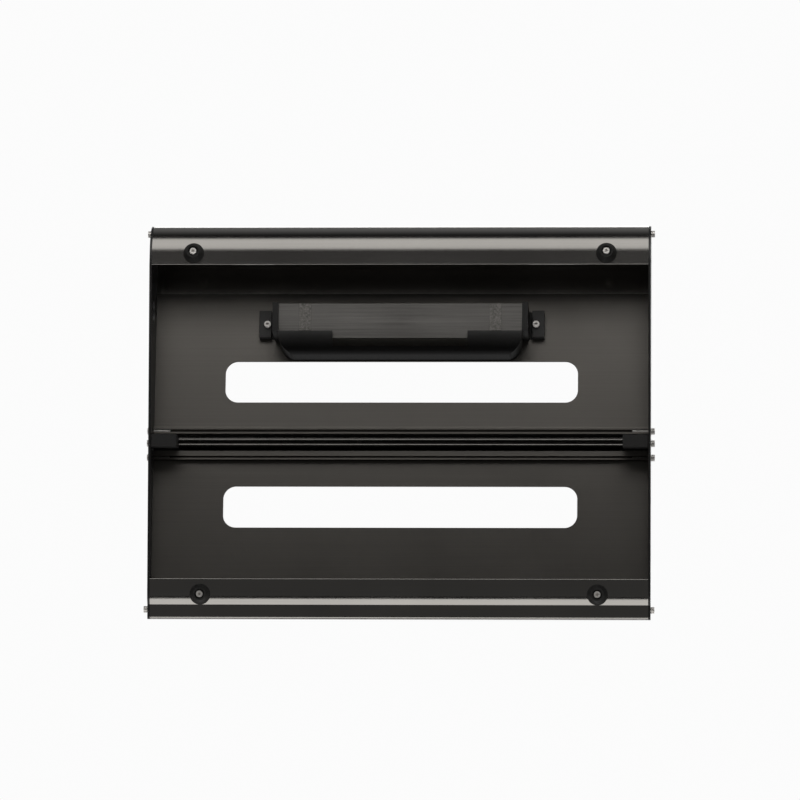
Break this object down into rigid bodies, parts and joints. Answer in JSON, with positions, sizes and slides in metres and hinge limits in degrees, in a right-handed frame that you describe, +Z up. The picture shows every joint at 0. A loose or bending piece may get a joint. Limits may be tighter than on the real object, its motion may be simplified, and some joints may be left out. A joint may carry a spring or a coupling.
{
  "type": "pedalboard",
  "caption": "Wedge-shaped pedalboard with slotted deck plates between end plates, rubber feet, a side cable hole and an under-deck power-supply cradle with a sliding lid.",
  "frame": {"origin": "centre of the board's outline on the floor, under its feet, standing as it is used", "axes": "+Z up, +Y towards the high rear nose, +X towards the player's right, where the cable hole is"},
  "size_m": [0.54, 0.42, 0.0822],
  "materials": {
    "plate_black": "fine satin black",
    "rail_black": "satin black anodised",
    "deck_black": "matt black anodised",
    "centre_black": "satin black anodised",
    "block_black": "matt black",
    "screw_steel": "zinc plated",
    "foot_rubber": "matt",
    "trough_black": "satin black",
    "lid_brushed": "brushed, dark anodised",
    "cheek_black": "matt moulded",
    "pad_hook": "hook-and-loop pile"
  },
  "bodies": {
    "board": {"end_plate_right": "plate_black", "end_plate_left": "plate_black", "rear_nose_rail": "rail_black", "front_nose_rail": "rail_black", "rear_deck": "deck_black", "front_deck": "deck_black", "centre_rail": "centre_black", "centre_block_right": "block_black", "centre_block_left": "block_black", "nose_end_screws": "screw_steel", "deck_port_screws": "screw_steel", "centre_rail_screws": "screw_steel", "rear_foot_right": "foot_rubber", "rear_foot_left": "foot_rubber", "front_foot_right": "foot_rubber", "front_foot_left": "foot_rubber", "rear_foot_screws": "screw_steel", "front_foot_screws": "screw_steel", "cradle_trough": "trough_black", "cradle_cheek_right": "cheek_black", "cradle_cheek_left": "cheek_black", "clamp_block_right": "block_black", "clamp_block_left": "block_black", "clamp_screws": "screw_steel"},
    "cradle_lid": {"cradle_plate": "lid_brushed", "cradle_pad_right": "pad_hook", "cradle_pad_left": "pad_hook"}
  },
  "joints": [
    {"name": "cradle_lid_slide", "type": "slide", "parent": "board", "child": "cradle_lid", "axis": [0, 0.9863, 0.165], "range_m": [0, 0.03]}
  ]
}
